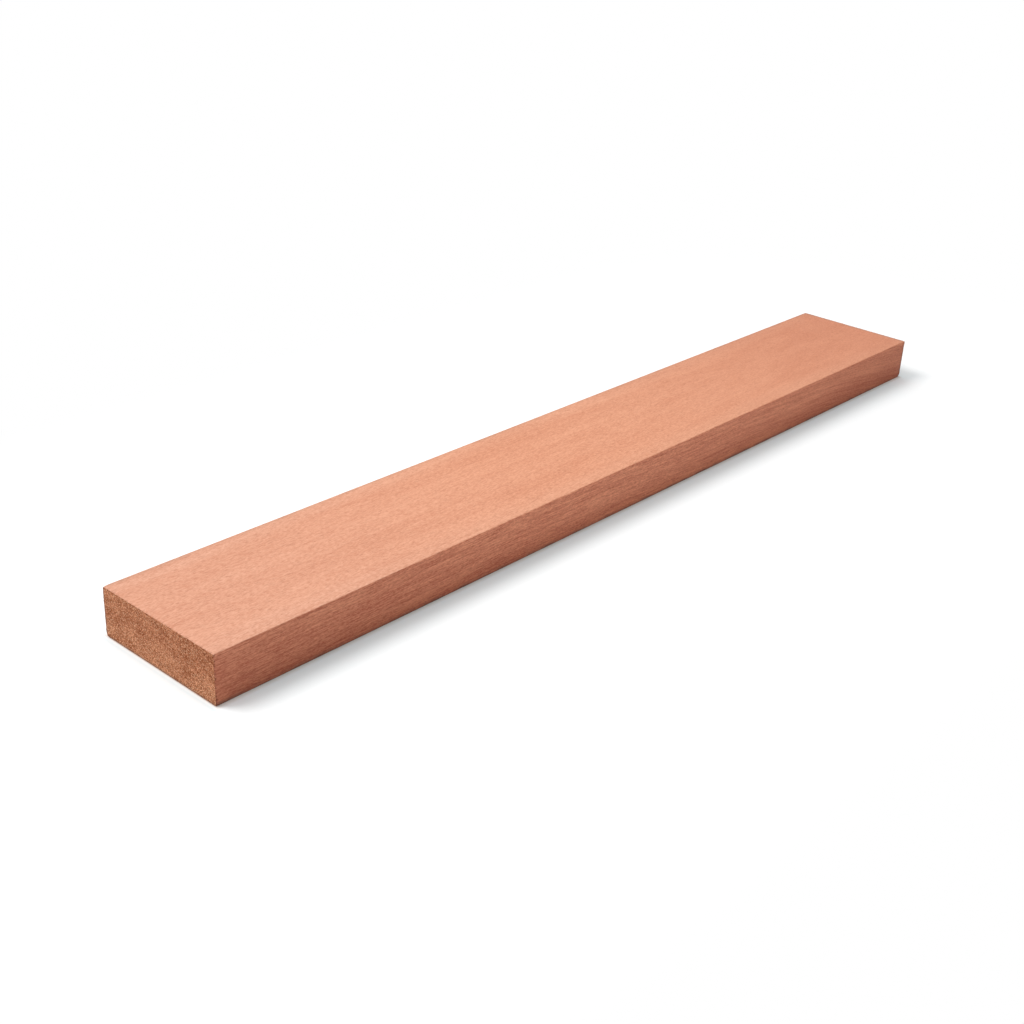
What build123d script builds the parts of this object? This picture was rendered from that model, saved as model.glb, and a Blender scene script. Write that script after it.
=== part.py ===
from build123d import *
import os

# A planed hardwood board lying on its wide underside. X runs along the board, Y across its width
# and Z through its thickness. The origin is the middle of the underside.

# Overall sizes in millimetres
LENGTH = 500.0
WIDTH = 68.0
THICKNESS = 22.0

# The planer leaves three long arrises crisp, and the lower back one is eased to a small round
ARRIS_RADIUS = 0.5
EASED_ARRIS_RADIUS = 2.0

# The moulded section, seen along the board. Each corner has its own radius.
half_width = WIDTH / 2
front_bottom = (-half_width, 0)
back_bottom = (half_width, 0)
back_top = (half_width, THICKNESS)
front_top = (-half_width, THICKNESS)

with BuildPart() as board:
    with BuildSketch(Plane.YZ) as section:
        with BuildLine():
            FilletPolyline(
                front_bottom,
                back_bottom,
                back_top,
                front_top,
                radius=(ARRIS_RADIUS, EASED_ARRIS_RADIUS, ARRIS_RADIUS, ARRIS_RADIUS),
                close=True,
            )
        make_face()
    # Both ends are sawn square, so the section runs straight through from end to end
    extrude(amount=LENGTH / 2, both=True)
board.part.label = "board"

os.makedirs("parts", exist_ok=True)
export_step(board.part, "parts/board.step")
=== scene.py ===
import math

import bmesh
import bpy
import numpy as np
from mathutils import Matrix, Vector


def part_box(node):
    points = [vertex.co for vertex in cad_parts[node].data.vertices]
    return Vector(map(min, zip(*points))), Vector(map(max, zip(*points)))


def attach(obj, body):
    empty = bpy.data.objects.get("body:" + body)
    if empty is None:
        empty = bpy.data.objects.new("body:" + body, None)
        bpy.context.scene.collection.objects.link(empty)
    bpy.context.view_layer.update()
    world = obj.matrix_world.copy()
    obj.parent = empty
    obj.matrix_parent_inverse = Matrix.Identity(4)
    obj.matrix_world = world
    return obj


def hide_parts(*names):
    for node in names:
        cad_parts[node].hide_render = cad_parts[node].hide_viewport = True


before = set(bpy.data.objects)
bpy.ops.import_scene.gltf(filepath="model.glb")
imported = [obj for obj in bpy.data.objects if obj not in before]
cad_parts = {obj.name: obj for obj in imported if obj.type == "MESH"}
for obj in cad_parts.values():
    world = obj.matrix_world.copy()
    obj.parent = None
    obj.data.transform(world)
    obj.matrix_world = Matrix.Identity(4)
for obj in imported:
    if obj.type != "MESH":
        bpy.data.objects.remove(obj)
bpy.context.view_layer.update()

# The board
# One straight length of red tropical hardwood, ripped from a plank, planed on four sides and sawn
# square at both ends. The planer leaves three long arrises crisp, and the lower back one is eased.

CRISP_ARRIS = 0.0005
EASED_ARRIS = 0.002
CRISP_FACETS = 3
EASED_FACETS = 6
CELL = 0.00037  # of the mesh across the grain, small enough to carry the planed fibres
EASED_CELLS = 5  # across the reach of the eased arris
END_CUTS = (0.0003, 0.0007, 0.0012, 0.0018, 0.0027, 0.004)  # in from each end, where fibres tear
BAYS = 20
CELLS_PER_BAY = 6

low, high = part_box("board")
length, width, thickness = high - low
middle = (low + high) / 2


def pick(kind, test):
    """Selects only those edges or faces of the mesh being edited that pass the test."""
    bpy.ops.mesh.select_mode(type=kind)
    bpy.ops.mesh.select_all(action="DESELECT")
    editing = bmesh.from_edit_mesh(bpy.context.edit_object.data)
    for item in editing.edges if kind == "EDGE" else editing.faces:
        if test(item):
            item.select = True
    editing.select_flush_mode()
    bmesh.update_edit_mesh(bpy.context.edit_object.data)


def runs_along(edge):
    """Whether an edge runs along more than half of the board."""
    return abs(edge.verts[0].co.x - edge.verts[1].co.x) > length / 2


def is_arris(edge, back, top):
    """Whether an edge is that one of the blank's four long arrises."""
    start = edge.verts[0].co
    arris = Vector((start.x, high.y if back else low.y, high.z if top else low.z))
    return runs_along(edge) and (start - arris).length < CRISP_ARRIS / 2


def cut(place, normal):
    """Cuts the whole mesh along a plane, and leaves both sides in place."""
    bpy.ops.mesh.select_all(action="SELECT")
    bpy.ops.mesh.bisect(plane_co=place, plane_no=normal)


bpy.ops.object.select_all(action="DESELECT")
bpy.ops.mesh.primitive_cube_add(
    size=1, location=middle, scale=(length, width, thickness), calc_uvs=False
)
board = bpy.context.active_object
board.name = board.data.name = "planed_board"
bpy.ops.object.transform_apply(location=True, rotation=True, scale=True)

bpy.ops.object.mode_set(mode="EDIT")
pick("EDGE", lambda edge: is_arris(edge, back=True, top=False))
bpy.ops.mesh.bevel(offset=EASED_ARRIS, segments=EASED_FACETS, affect="EDGES")
for back, top in ((False, False), (False, True), (True, True)):
    pick("EDGE", lambda edge: is_arris(edge, back, top))
    bpy.ops.mesh.bevel(offset=CRISP_ARRIS, segments=CRISP_FACETS, affect="EDGES")

# Upright and level planes divide the faces into cells, and the eased arris too.
columns = round((width - CRISP_ARRIS - EASED_ARRIS) / CELL)
for y in np.linspace(low.y + CRISP_ARRIS, high.y - EASED_ARRIS, columns + 1):
    cut((0, y, 0), (0, 1, 0))
rows = round((thickness - CRISP_ARRIS - EASED_ARRIS) / CELL)
for z in np.linspace(low.z + EASED_ARRIS, high.z - CRISP_ARRIS, rows + 1):
    cut((0, 0, z), (0, 0, 1))
for inset in np.linspace(0, EASED_ARRIS, EASED_CELLS + 1)[1:-1]:
    cut((0, high.y - inset, 0), (0, 1, 0))
    cut((0, 0, low.z + inset), (0, 0, 1))
for inset in END_CUTS:
    for x in (low.x + inset, high.x - inset):
        cut((x, 0, 0), (1, 0, 0))

# The long cells are divided in two steps, because one subdivision makes 100 cuts at most.
pick("EDGE", runs_along)
bpy.ops.mesh.subdivide(number_cuts=BAYS - 1)
bay = (length - 2 * END_CUTS[-1]) / BAYS
pick("EDGE", lambda edge: edge.calc_length() > bay / 2)
bpy.ops.mesh.subdivide(number_cuts=CELLS_PER_BAY - 1)
bpy.ops.object.mode_set(mode="OBJECT")


# The board's grain
# Places in the wood are given as in the tree: along the grain, round the rings and out from the
# pith. The rings lie nearly level with the wide faces, and the grain dips towards the far end.

PITH = (0.012, -0.105)  # across and up, from the middle of the underside
DIP_START = -0.1
DIP_RATE = 0.13  # times the square of the way past the start
WANDER = 0.006  # how wide the grain wanders, from one side to the other
UNUSED_STRETCH = (0.7, 0.0, 0.0)  # along the noise, so that two wanderings aren't alike


def build(tree, kind, inputs=(), **settings):
    """Adds a node. Each input is a value, or the socket that feeds it."""
    made = tree.nodes.new(kind)
    for name, value in settings.items():
        setattr(made, name, value)
    for name, value in dict(inputs).items():
        socket = made.inputs[name]
        if isinstance(value, bpy.types.NodeSocket):
            tree.links.new(value, socket)
        else:
            socket.default_value = value
    return made


def maths(tree, operation, *values):
    return build(tree, "ShaderNodeMath", enumerate(values), operation=operation).outputs[0]


def vector_maths(tree, operation, *values):
    """Gives a vector, or a number where the operation measures its vectors."""
    made = build(tree, "ShaderNodeVectorMath", enumerate(values), operation=operation)
    measures = operation in ("DISTANCE", "DOT_PRODUCT", "LENGTH")
    return made.outputs["Value" if measures else "Vector"]


def product(tree, first, *others):
    for other in others:
        first = maths(tree, "MULTIPLY", first, other)
    return first


def total(tree, *terms):
    """Adds up values, each times its own weight."""
    added = None
    for value, weight in terms:
        part = product(tree, value, weight)
        added = part if added is None else maths(tree, "ADD", added, part)
    return added


def noise(tree, place, size, detail=2.0, roughness=0.5):
    """Noise about 0.5. Its size is that of its blotches, in millimetres along each axis."""
    scaled = vector_maths(tree, "MULTIPLY", place, [1000 / blotch for blotch in size])
    inputs = {"Vector": scaled, "Scale": 1.0, "Detail": detail, "Roughness": roughness}
    return build(tree, "ShaderNodeTexNoise", inputs).outputs[0]


def in_the_tree(tree, place):
    """Turns a place on the board into where it is in the tree: along, around and out."""
    wander = noise(tree, place, size=(150, 40, 40), detail=1.0)
    elsewhere = vector_maths(tree, "ADD", place, UNUSED_STRETCH)
    drift = noise(tree, elsewhere, size=(110, 40, 40), detail=1.0)
    along, across, up = build(tree, "ShaderNodeSeparateXYZ", {0: place}).outputs
    past = maths(tree, "MAXIMUM", maths(tree, "SUBTRACT", along, DIP_START), 0.0)
    dip = product(tree, past, past, DIP_RATE)
    across = total(tree, (across, 1.0), (wander, WANDER))
    across = maths(tree, "SUBTRACT", across, PITH[0] + WANDER / 2)
    up = total(tree, (up, 1.0), (dip, 1.0), (drift, WANDER))
    up = maths(tree, "SUBTRACT", up, PITH[1] + WANDER / 2)
    around = product(tree, maths(tree, "ARCTAN2", across, up), -PITH[1])
    squares = maths(tree, "ADD", product(tree, across, across), product(tree, up, up))
    out = maths(tree, "SQRT", squares)
    return build(tree, "ShaderNodeCombineXYZ", {0: along, 1: around, 2: out}).outputs[0]


# Surface of the board
# The planer's knives leave the fibres standing very slightly proud of each other. The saw leaves
# the ends rougher and breaks fibres out along their arrises, and two corners are knocked blunt.

PLANED_RELIEF = 0.00005
SAWN_RELIEF = 0.0001
TORN_RELIEF = 0.00012
TEARS = (0.31, 0.47)  # the noise where fibres are still sound, and where they are torn out
TEARS_LOST = 260.0  # from that noise, per metre away from the end
SAWN_TURN = (0.3, 0.6)  # of the normal along the board, from planed relief to sawn
SIDE_TURN = (0.95, 0.8)  # the same, from the flat of an end to the arris round it
KNOCKS = (
    (Vector((high.x, low.y, low.z)), 0.0018, 0.0005),  # corner, reach and depth
    (Vector((low.x, high.y, high.z)), 0.0026, 0.00022),
)


def ramp(tree, value, start, end, first=0.0, last=1.0):
    """Goes smoothly from a first value, at the start, to a last one, at the end."""
    inputs = {"Value": value, "From Min": start, "From Max": end, "To Min": first, "To Max": last}
    made = build(tree, "ShaderNodeMapRange", inputs, interpolation_type="SMOOTHSTEP")
    return made.outputs["Result"]


def torn_fibres(tree, place):
    """1 where the saw broke fibres out beside an end, and 0 where they are sound."""
    along = build(tree, "ShaderNodeSeparateXYZ", {0: place}).outputs["X"]
    from_end = maths(tree, "SUBTRACT", high.x, maths(tree, "ABSOLUTE", along))
    tufts = noise(tree, place, size=(2.0, 0.8, 0.8))
    return ramp(tree, total(tree, (from_end, -TEARS_LOST), (tufts, 1.0)), *TEARS)


def stretched(tree, vector, by):
    inputs = {0: vector, "Scale": by}
    return build(tree, "ShaderNodeVectorMath", inputs, operation="SCALE").outputs[0]


relief = bpy.data.node_groups.new("planed and sawn relief", "GeometryNodeTree")
relief.interface.new_socket("Geometry", in_out="INPUT", socket_type="NodeSocketGeometry")
relief.interface.new_socket("Geometry", in_out="OUTPUT", socket_type="NodeSocketGeometry")
smooth = relief.nodes.new("NodeGroupInput")
carved = relief.nodes.new("NodeGroupOutput")
position = relief.nodes.new("GeometryNodeInputPosition").outputs[0]
normal = relief.nodes.new("GeometryNodeInputNormal").outputs[0]
normal_along = build(relief, "ShaderNodeSeparateXYZ", {0: normal}).outputs["X"]
facing_end = maths(relief, "ABSOLUTE", normal_along)
sawn = ramp(relief, facing_end, *SAWN_TURN)
at_side = ramp(relief, facing_end, *SIDE_TURN)
fibres = noise(relief, in_the_tree(relief, position), size=(16, 0.9, 0.9), detail=3.0)
grit = noise(relief, position, size=(0.8, 0.8, 0.8), roughness=0.7)
planed_depth = product(relief, fibres, PLANED_RELIEF)
sawn_depth = product(relief, grit, SAWN_RELIEF)
depths = {"Factor": sawn, "A": planed_depth, "B": sawn_depth}
depth = build(relief, "ShaderNodeMix", depths, data_type="FLOAT").outputs["Result"]
torn = product(relief, torn_fibres(relief, position), at_side)
depth = total(relief, (depth, 1.0), (torn, TORN_RELIEF))
offset = stretched(relief, normal, by=product(relief, depth, -1.0))
for corner, reach, knock_depth in KNOCKS:
    from_corner = vector_maths(relief, "DISTANCE", position, corner)
    way_in = [math.copysign(1 / math.sqrt(3), to_middle) for to_middle in middle - corner]
    knock = stretched(relief, way_in, by=ramp(relief, from_corner, reach, 0.0, last=knock_depth))
    offset = vector_maths(relief, "ADD", offset, knock)
moved = build(relief, "GeometryNodeSetPosition", {"Geometry": smooth.outputs[0], "Offset": offset})
relief.links.new(moved.outputs[0], carved.inputs[0])
carving = board.modifiers.new("relief", "NODES")
carving.node_group = relief
bpy.ops.object.modifier_apply(modifier=carving.name)
bpy.ops.object.shade_smooth_by_angle(angle=math.radians(35))


# Planed faces
# Bare wood as the planer left it, with fine pores and short strokes along the grain. The wide
# faces follow the rings, pale and even. The narrow edges cut across them, darker and streaked,
# and carry painted shade: darker towards the floor, and the front one redder.


def colour(red, green, blue):
    """Turns a colour as on a screen, 0 to 255, into the linear values that a shader takes."""
    return (*(((level / 255 + 0.055) / 1.055) ** 2.4 for level in (red, green, blue)), 1.0)


EDGE_TURN = (0.45, 0.85)  # of the normal across the board, from a wide face to an edge
FACE_COLOURS = (colour(199, 133, 104), colour(229, 172, 144))  # the darkest and the palest wood
EDGE_COLOURS = (colour(187, 100, 73), colour(245, 167, 130))
CALM = (0.0, 0.15, 1.0, 0.62)  # along the board, from where to where, and how strong the figure is

FACE_TINTS = (  # each from where it starts along the board to where it is whole
    (low.x, -0.02, (1.028, 0.95, 0.868, 1)),
    (0.0, 0.3, (0.87, 0.775, 0.745, 1)),
)
SIDE_TINT = (1.01, 1.05, 1.08, 1)  # of the wide faces beside their long arrises
SIDE_STRIP = (0.004, 0.012)  # how far in from the outline it is whole, and how far it reaches
LOW_SHADE_TINT = (0.83, 0.74, 0.71, 1)  # painted shade on the edges towards the floor
LOW_SHADE_STRIP = 0.015
LOW_SHADE_CLIMB = (0.06, 0.16, 0.0, 0.002)  # along the board, from where to where, and how far up
ENDS_TINT = (0.85, 0.83, 0.83, 1)  # of the edges towards both ends
ENDS_START = 0.06
FAR_TINT = (1.0, 0.94, 0.89, 1)  # of the edges towards the far end
FAR_START = 0.05
BACK_EDGE_SHADE_REDNESS = 0.45  # against 1 on the front edge, whose full redness is partly painted shade colour

PORE_HEART = 0.6  # share of a pore's radius where it is whole
PORE_COLOUR = colour(150, 84, 58)
PORE_SHARES = (0.16, 0.3)  # on the wide faces and on the edges
TORN_COLOUR = colour(118, 62, 42)
TORN_SHARES = (0.3, 0.75)
# Painted arris shade, partly wear: darker, greyer lines along the outline and the board's foot.
FACE_WEAR_AND_SHADE_COLOUR = colour(160, 122, 102)
EDGE_WEAR_AND_SHADE_COLOUR = colour(108, 80, 67)
ARRIS_WEAR_AND_SHADE = (0.0006, 0.003)  # how far in from the outline it is whole, and how far it reaches
LOW_WEAR_AND_SHADE = (0.0004, 0.0022)
BACK_WEAR_AND_SHADE_SHARE = 0.35
FAR_WEAR_AND_SHADE_SHARE = 0.6
EDGE_WEAR_AND_SHADE_SHARE = 0.75
ROUGHNESS = (0.58, 0.8)
GLOSS = 0.2


def mixed(tree, share, first, second, blend="MIX"):
    inputs = {"Factor": share, 6: first, 7: second}  # 6 and 7 are the two colours
    return build(tree, "ShaderNodeMix", inputs, data_type="RGBA", blend_type=blend).outputs[2]


def tinted(tree, share, paint, tint):
    return mixed(tree, share, paint, tint, "MULTIPLY")


def figure(tree, *terms):
    """Adds up noises, each times its own weight, about 0."""
    return maths(tree, "SUBTRACT", total(tree, *terms), sum(weight for _, weight in terms) / 2)


def figured(tree, broad, fine, calm, spread, colours):
    """Colours wood by its figure: broad noises, and fine ones that the calm parts show less of."""
    tone = maths(tree, "ADD", figure(tree, *broad), product(tree, figure(tree, *fine), calm))
    return mixed(tree, ramp(tree, tone, -spread, spread), *colours)


def spindles(tree, place, long, thick, radius):
    """1 inside slim spindles along the grain, about one to a cell of that size, and 0 outside."""
    scaled = vector_maths(tree, "MULTIPLY", place, (1000 / long, 1000 / thick, 1000 / thick))
    cells = build(tree, "ShaderNodeTexVoronoi", {"Vector": scaled, "Scale": 1.0})
    return ramp(tree, cells.outputs["Distance"], radius, PORE_HEART * radius)


def give_looks(tree, wood, height):
    """Gives the wood's shader its colour, and its finest relief, whose height is in metres."""
    shader = tree.nodes["Principled BSDF"]
    bump = build(tree, "ShaderNodeBump", {"Height": height, "Distance": 1.0, "Strength": 0.8})
    tree.links.new(wood, shader.inputs["Base Color"])
    tree.links.new(bump.outputs[0], shader.inputs["Normal"])
    return shader


planed = bpy.data.materials.new("planed hardwood")
planed.use_nodes = True
tree = planed.node_tree
coordinates = tree.nodes.new("ShaderNodeTexCoord")
place = coordinates.outputs["Object"]
grain = in_the_tree(tree, place)
along, across, up = build(tree, "ShaderNodeSeparateXYZ", {0: place}).outputs
normal = coordinates.outputs["Normal"]
normal_across = build(tree, "ShaderNodeSeparateXYZ", {0: normal}).outputs["Y"]
facing_side = maths(tree, "ABSOLUTE", normal_across)
on_edge = ramp(tree, facing_side, *EDGE_TURN)
on_face = ramp(tree, facing_side, *reversed(EDGE_TURN))

cloud = noise(tree, grain, size=(170, 12, 7))
band = noise(tree, grain, size=(60, 5, 2.2), detail=3.0, roughness=0.6)
hairline = noise(tree, grain, size=(16, 1.2, 0.55), detail=3.0, roughness=0.65)
stroke = noise(tree, grain, size=(1.7, 0.5, 0.5), detail=3.0, roughness=0.7)
calm = ramp(tree, along, *CALM)

broad = ((cloud, 0.11), (band, 0.15))
fine = ((hairline, 0.18), (stroke, 0.58))
face = figured(tree, broad, fine, calm, spread=0.2, colours=FACE_COLOURS)
for start, whole, tint in FACE_TINTS:
    face = tinted(tree, ramp(tree, along, start, whole), face, tint)
from_middle = maths(tree, "ABSOLUTE", across)
by_side = ramp(tree, from_middle, high.y - SIDE_STRIP[1], high.y - SIDE_STRIP[0])
face = tinted(tree, by_side, face, SIDE_TINT)

broad = ((cloud, 0.1), (band, 0.2))
fine = ((hairline, 0.44), (stroke, 0.47))
edge = figured(tree, broad, fine, calm, spread=0.18, colours=EDGE_COLOURS)
# Painted shade: the edges darken towards the floor, a little higher up in the far half.
above = maths(tree, "SUBTRACT", up, ramp(tree, along, *LOW_SHADE_CLIMB))
edge = tinted(tree, ramp(tree, above, LOW_SHADE_STRIP, 0.0), edge, LOW_SHADE_TINT)
by_ends = ramp(tree, maths(tree, "ABSOLUTE", along), ENDS_START, high.x)
edge = tinted(tree, by_ends, edge, ENDS_TINT)
edge = tinted(tree, ramp(tree, along, FAR_START, high.x), edge, FAR_TINT)
# The front edge takes the edge colours whole, partly as painted shade colour; the back one less.
shade_redness = ramp(tree, across, low.y, high.y, first=1.0, last=BACK_EDGE_SHADE_REDNESS)
wood = mixed(tree, product(tree, on_edge, shade_redness), face, edge)

pores = spindles(tree, grain, long=5.5, thick=0.5, radius=0.3)
pore_share = product(tree, pores, ramp(tree, on_edge, 0.0, 1.0, *PORE_SHARES))
wood = mixed(tree, pore_share, wood, PORE_COLOUR)
torn_share = product(tree, torn_fibres(tree, place), ramp(tree, on_edge, 0.0, 1.0, *TORN_SHARES))
wood = mixed(tree, torn_share, wood, TORN_COLOUR)

# Painted shade and wear: darker, greyer by the back and far arrises and along the edges' foot.
by_back = product(tree, ramp(tree, across, high.y - ARRIS_WEAR_AND_SHADE[1], high.y - ARRIS_WEAR_AND_SHADE[0]), BACK_WEAR_AND_SHADE_SHARE)
by_far_end = product(tree, ramp(tree, along, high.x - ARRIS_WEAR_AND_SHADE[1], high.x - ARRIS_WEAR_AND_SHADE[0]), FAR_WEAR_AND_SHADE_SHARE)
by_bottom = ramp(tree, up, LOW_WEAR_AND_SHADE[1], LOW_WEAR_AND_SHADE[0])
blotches = noise(tree, place, size=(9, 9, 9), detail=3.0, roughness=0.6)
patchy = ramp(tree, blotches, 0.35, 0.65, first=0.35)
wear_and_shade = maths(tree, "MAXIMUM", by_back, by_far_end)
wear_and_shade = product(tree, wear_and_shade, on_face, patchy)
wood = mixed(tree, wear_and_shade, wood, FACE_WEAR_AND_SHADE_COLOUR)
wear_and_shade = maths(tree, "MAXIMUM", by_bottom, by_far_end)
wear_and_shade = product(tree, wear_and_shade, on_edge, patchy, EDGE_WEAR_AND_SHADE_SHARE)
wood = mixed(tree, wear_and_shade, wood, EDGE_WEAR_AND_SHADE_COLOUR)

height = total(tree, (pores, -0.00009), (hairline, 0.00005), (stroke, 0.00003))
shader = give_looks(tree, wood, height)
dryness = total(tree, (hairline, 0.6), (pores, 0.4))
tree.links.new(ramp(tree, dryness, 0.2, 0.8, *ROUGHNESS), shader.inputs["Roughness"])
shader.inputs["Specular IOR Level"].default_value = GLOSS
board.data.materials.append(planed)


# Sawn ends
# The saw cut straight across the fibres here. So the ends are rougher and browner than the sides,
# with the open pores as dark specks and pale flecks between them, on faint level rings.

END_FACING = 0.7  # how far a sawn face's normal turns along the board, at least
END_COLOURS = (colour(143, 78, 46), colour(229, 165, 126))
HIGH_SHADE_TINT = (0.84, 0.76, 0.725, 1)  # painted shade on the upper part of an end, as if the floor lit its lower part
HIGH_SHADE_PART = (0.005, 0.013)  # the height where it starts, and where it is whole
FRONT_TINT = (0.93, 0.91, 0.9, 1)  # of an end towards the front
OPEN_PORE_COLOUR = colour(92, 44, 24)
OPEN_PORE_SHARE = 0.75
FLECK_COLOUR = colour(240, 198, 160)
FLECK_SHARE = 0.55
FLECK_SHIFT = (0.3, 0.3, 0.3)  # away in the wood, so that the flecks don't lie on the pores
# Painted arris shade, partly wear: a darker, greyer line along each end's foot and back arris.
END_WEAR_AND_SHADE_COLOUR = colour(104, 90, 82)
END_WEAR_AND_SHADE = (0.0003, 0.0016)
END_WEAR_AND_SHADE_SHARE = 0.5
END_ROUGHNESS = 0.9
END_GLOSS = 0.1

sawn_ends = bpy.data.materials.new("sawn end grain")
sawn_ends.use_nodes = True
tree = sawn_ends.node_tree
place = tree.nodes.new("ShaderNodeTexCoord").outputs["Object"]
grain = in_the_tree(tree, place)
across, up = build(tree, "ShaderNodeSeparateXYZ", {0: place}).outputs[1:]

ring = noise(tree, grain, size=(60, 30, 1.6), detail=3.0, roughness=0.6)
cloud = noise(tree, grain, size=(30, 9, 4))
speckle = noise(tree, grain, size=(1.5, 0.52, 0.52), roughness=0.75)
tone = total(tree, (ring, 0.18), (cloud, 0.18), (speckle, 0.72))
wood = mixed(tree, ramp(tree, tone, 0.4, 0.68), *END_COLOURS)
# Painted shade: each end is darker higher up and paler by the floor.
wood = tinted(tree, ramp(tree, up, *HIGH_SHADE_PART), wood, HIGH_SHADE_TINT)
wood = tinted(tree, ramp(tree, across, high.y, low.y), wood, FRONT_TINT)

pores = spindles(tree, grain, long=5.5, thick=0.46, radius=0.42)
wood = mixed(tree, product(tree, pores, OPEN_PORE_SHARE), wood, OPEN_PORE_COLOUR)
elsewhere = vector_maths(tree, "ADD", grain, FLECK_SHIFT)
flecks = spindles(tree, elsewhere, long=5.5, thick=0.75, radius=0.33)
wood = mixed(tree, product(tree, flecks, FLECK_SHARE), wood, FLECK_COLOUR)

# Painted shade and wear: each end darkens and greys along its foot and its back arris.
by_bottom = ramp(tree, up, END_WEAR_AND_SHADE[1], END_WEAR_AND_SHADE[0])
by_back = ramp(tree, across, high.y - END_WEAR_AND_SHADE[1], high.y - END_WEAR_AND_SHADE[0])
wear_and_shade = maths(tree, "MAXIMUM", by_bottom, by_back)
wood = mixed(tree, product(tree, wear_and_shade, END_WEAR_AND_SHADE_SHARE), wood, END_WEAR_AND_SHADE_COLOUR)

height = total(tree, (pores, -0.00012), (flecks, 0.00004), (speckle, 0.00012))
shader = give_looks(tree, wood, height)
shader.inputs["Roughness"].default_value = END_ROUGHNESS
shader.inputs["Specular IOR Level"].default_value = END_GLOSS
board.data.materials.append(sawn_ends)
bpy.ops.object.mode_set(mode="EDIT")
pick("FACE", lambda face: abs(face.normal.x) > END_FACING)
board.active_material_index = 1
bpy.ops.object.material_slot_assign()
bpy.ops.object.mode_set(mode="OBJECT")


# The board's map
# It is for the picture that the looks are baked into. The four long faces lie as strips over its
# whole width, one above the other, and the two ends lie side by side above them.

MAP_GAP = 0.004
LONG_FACES_SHARE = 0.8  # of the picture's height
END_SHARE = 0.465  # of the picture's width


def read(items, field, size, kind=float):
    """Reads one value or vector of each vertex, face or face corner."""
    found = np.zeros(size * len(items), dtype=kind)
    items.foreach_get(field, found)
    return found.reshape(-1, size)


mesh = board.data
corner_vertex = read(mesh.loops, "vertex_index", 1, int)[:, 0]
corners_in_face = read(mesh.polygons, "loop_total", 1, int)[:, 0]
from_low = read(mesh.vertices, "co", 3)[corner_vertex] - np.array(low)
facing = np.repeat(read(mesh.polygons, "normal", 3), corners_in_face, axis=0)
is_end = np.abs(facing[:, 0]) > END_FACING
is_wide = ~is_end & (np.abs(facing[:, 2]) >= np.abs(facing[:, 1]))
is_edge = ~is_end & ~is_wide
girth = 2 * (width + thickness)
on_map = np.zeros((len(facing), 2))
on_map[:, 0] = MAP_GAP + (1 - 2 * MAP_GAP) * from_low[:, 0] / length
bottom = MAP_GAP
for strip, axis, breadth in (
    (is_wide & (facing[:, 2] < 0), 1, width),
    (is_edge & (facing[:, 1] < 0), 2, thickness),
    (is_wide & (facing[:, 2] > 0), 1, width),
    (is_edge & (facing[:, 1] > 0), 2, thickness),
):
    on_map[strip, 1] = bottom + LONG_FACES_SHARE * from_low[strip, axis] / girth
    bottom += LONG_FACES_SHARE * breadth / girth + 2 * MAP_GAP
for end, left in (
    (is_end & (facing[:, 0] < 0), MAP_GAP),
    (is_end & (facing[:, 0] > 0), 0.5 + MAP_GAP),
):
    on_map[end, 0] = left + END_SHARE * from_low[end, 1] / width
    on_map[end, 1] = bottom + END_SHARE * from_low[end, 2] / width
mesh.uv_layers.new(name="OFBake").uv.foreach_set("vector", on_map.ravel())

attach(board, "root")
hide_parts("board")


# The studio floor
# Plain and pale, it runs out of sight on all sides, so the board lies on white with its own soft
# shadow. The paint beside the board holds back the red that the wood throws on it, and a thin
# painted shadow darkens it along the board's foot.

FLOOR_SIZE = 40.0
FLOOR_BOUNCE = 0.85
WHITE = (1, 1, 1, 1)
WOOD_GLOW = (0.2, 0.035, 0.0)  # share of each colour that the red wood adds to the floor beside it
GLOW_FALL = 1.35
GLOW_END = (0.03, 0.02)  # how far short of an end it starts to fade, and how far past it is gone
GLOW_AT_FAR_END = 0.5  # against 1 along the sides
CONTACT_SHADOW_TINT = (0.86, 0.76, 0.71, 1)  # painted contact shadow along the line where the board meets the floor
CONTACT_SHADOW_REACH = 0.0025
CONTACT_SHADOW_PAST_END = 0.0006
CONTACT_SHADOW_AT_ENDS = 0.05
FOOT_TINT = (0.82, 0.89, 0.92, 1)  # of the shade before the near end
FOOT_REACH = 0.005
FOOT_START = 0.002  # how far before the end it is whole
PLAIN_WHITE = (0.05, 0.2)  # how far from the board the floor starts to turn white, and is white
PLAIN_WHITE_NEAR = 0.04  # share of it beside the board

bpy.ops.object.select_all(action="DESELECT")
bpy.ops.mesh.primitive_plane_add(size=FLOOR_SIZE, location=(0, 0, low.z))
floor = bpy.context.active_object
floor.name = "studio_floor"


def seen_directly(tree):
    """1 for a ray from the camera or a reflection, and 0 for one that carries light."""
    rays = tree.nodes.new("ShaderNodeLightPath").outputs
    mirrored = maths(tree, "MAXIMUM", rays["Is Glossy Ray"], rays["Is Transmission Ray"])
    return maths(tree, "MAXIMUM", rays["Is Camera Ray"], mirrored)


pale = bpy.data.materials.new("pale floor")
pale.use_nodes = True
tree = pale.node_tree
tree.nodes.clear()
seen = seen_directly(tree)
place = tree.nodes.new("ShaderNodeTexCoord").outputs["Object"]
along = build(tree, "ShaderNodeSeparateXYZ", {0: place}).outputs["X"]
from_middle = maths(tree, "ABSOLUTE", along)
folded = vector_maths(tree, "ABSOLUTE", place)
past_outline = vector_maths(tree, "SUBTRACT", folded, (high.x, high.y, 0))
gap = vector_maths(tree, "LENGTH", vector_maths(tree, "MAXIMUM", past_outline, (0, 0, 0)))

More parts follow.
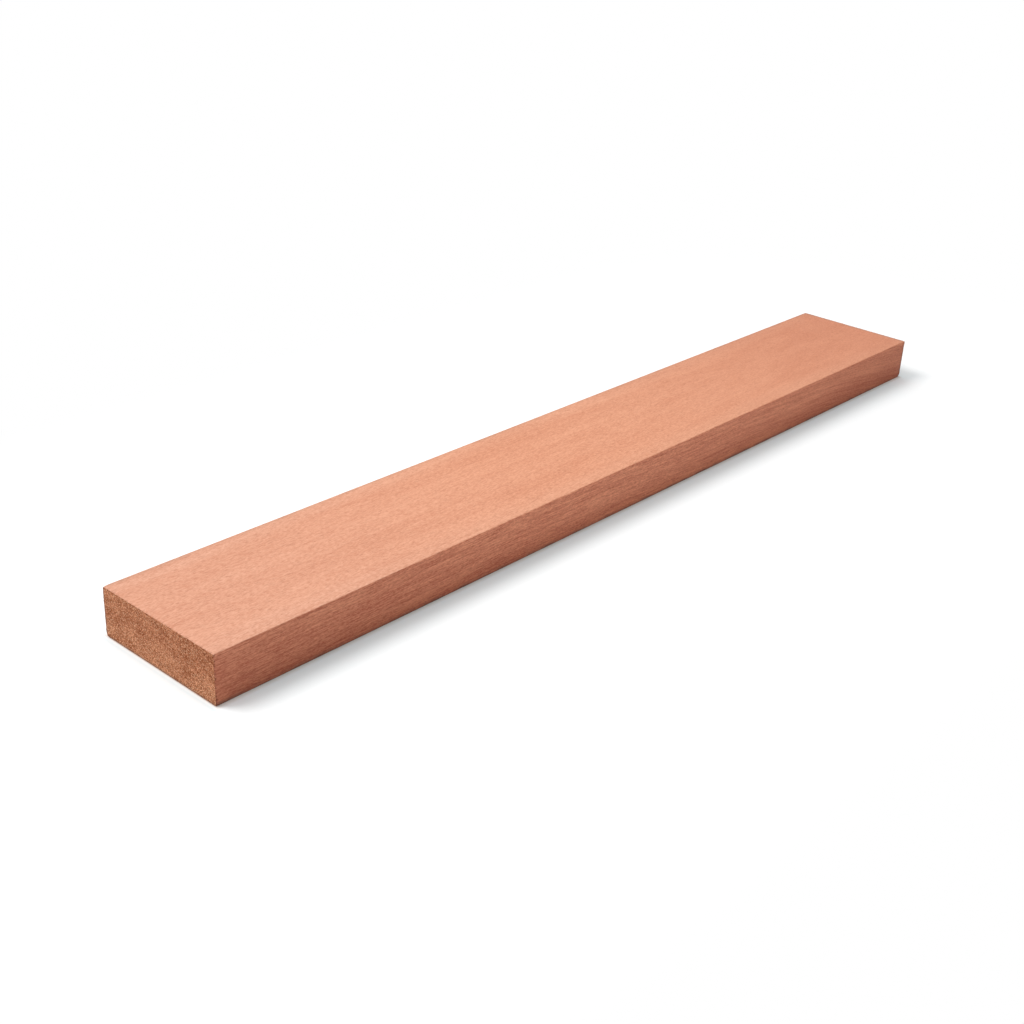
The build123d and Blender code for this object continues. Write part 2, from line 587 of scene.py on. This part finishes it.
from_top = maths(tree, "SQRT", maths(tree, "ADD", product(tree, gap, gap), thickness**2))
facing_wood = maths(tree, "SUBTRACT", 1.0, maths(tree, "DIVIDE", gap, from_top))
by_side = ramp(tree, from_middle, high.x + GLOW_END[1], high.x - GLOW_END[0])
by_far_half = ramp(tree, along, low.x, high.x, last=GLOW_AT_FAR_END)
reached = maths(tree, "MAXIMUM", by_side, by_far_half)
glow = product(tree, maths(tree, "POWER", facing_wood, GLOW_FALL), reached)
paint = mixed(tree, glow, WHITE, (*(1 - share for share in WOOD_GLOW), 1))
# Painted contact shadow: a thin dark reddish line on the floor along the board's foot.
at_side = ramp(tree, from_middle, high.x + CONTACT_SHADOW_PAST_END, high.x, first=CONTACT_SHADOW_AT_ENDS)
contact_shadow = product(tree, ramp(tree, gap, CONTACT_SHADOW_REACH, 0.0), at_side)
paint = tinted(tree, contact_shadow, paint, CONTACT_SHADOW_TINT)
before_near_end = ramp(tree, along, low.x, low.x - FOOT_START)
foot = product(tree, ramp(tree, gap, FOOT_REACH, 0.0), before_near_end)
paint = tinted(tree, foot, paint, FOOT_TINT)

paint = mixed(tree, seen, (FLOOR_BOUNCE, FLOOR_BOUNCE, FLOOR_BOUNCE, 1), paint)
matt = build(tree, "ShaderNodeBsdfDiffuse", {"Color": paint})
white = build(tree, "ShaderNodeEmission", {"Color": WHITE, "Strength": 1.0})
white_share = product(tree, ramp(tree, gap, *PLAIN_WHITE, first=PLAIN_WHITE_NEAR), seen)
shaders = {0: white_share, 1: matt.outputs[0], 2: white.outputs[0]}
surface = build(tree, "ShaderNodeMixShader", shaders)
build(tree, "ShaderNodeOutputMaterial", {"Surface": surface.outputs[0]})
floor.data.materials.append(pale)


# The studio sky
# Soft light that is brightest nearly overhead, leaning to the near end and the back, and nearly
# gone at the horizon, so the top is lit more than the edges. Seen directly, it is plain white.

LOW_SKY = (0.09, 0.092, 0.094, 1)
HIGH_SKY = (1.24, 1.25, 1.26, 1)
SKY_HEART = Vector((-0.2, 0.22, 0.95)).normalized()
SKY_EDGE = 0.1  # cosine of its angle from the heart

world = bpy.data.worlds.new("studio sky")
bpy.context.scene.world = world
world.use_nodes = True
tree = world.node_tree
direction = tree.nodes.new("ShaderNodeTexCoord").outputs["Generated"]
towards_heart = vector_maths(tree, "DOT_PRODUCT", direction, SKY_HEART)
sky = mixed(tree, ramp(tree, towards_heart, SKY_EDGE, 1.0), LOW_SKY, HIGH_SKY)
sky = mixed(tree, seen_directly(tree), sky, WHITE)
tree.links.new(sky, tree.nodes["Background"].inputs["Color"])


# The studio lamp
# A soft round lamp stands high up behind the board, past its near end. It throws the board's
# shadow to the front and past the far end.

LAMP_PLACE = Vector((-0.72, 0.62, 1.36))
LAMP_AIM = Vector((-0.05, 0, 0))
LAMP_SIZE = 0.75
LAMP_WATTS = 12.5
LAMP_COLOUR = (1.0, 0.98, 0.96)

bpy.ops.object.light_add(type="AREA", location=LAMP_PLACE)
lamp = bpy.context.active_object
lamp.name = "soft_lamp"
lamp.data.shape = "DISK"
lamp.data.size = LAMP_SIZE
lamp.data.energy = LAMP_WATTS
lamp.data.color = LAMP_COLOUR
lamp.rotation_euler = (LAMP_AIM - LAMP_PLACE).to_track_quat("-Z", "Y").to_euler()


# The camera
# It stands in front of the near end and looks down along the board, tilted a little to one side.
# Its place, angles and focal length follow from where the photograph shows seven of the corners.

CAMERA_PLACE = Vector((-0.5132, -0.39706, 0.29853))
CAMERA_ELEVATION = math.radians(26.18)
CAMERA_AZIMUTH = math.radians(49.155)
CAMERA_ROLL = math.radians(2.886)
FOCAL_PIXELS = 1459.3
PICTURE_PIXELS = 1024
SENSOR_MILLIMETRES = 36.0

bpy.ops.object.camera_add(location=CAMERA_PLACE)
camera = bpy.context.active_object
camera.data.sensor_width = SENSOR_MILLIMETRES
camera.data.lens = SENSOR_MILLIMETRES * FOCAL_PIXELS / PICTURE_PIXELS
camera.matrix_world = (
    Matrix.Translation(CAMERA_PLACE)
    @ Matrix.Rotation(-CAMERA_AZIMUTH, 4, "Z")
    @ Matrix.Rotation(math.pi / 2 - CAMERA_ELEVATION, 4, "X")
    @ Matrix.Rotation(CAMERA_ROLL, 4, "Z")
)
bpy.context.scene.camera = camera
bpy.context.scene.view_settings.view_transform = "Standard"
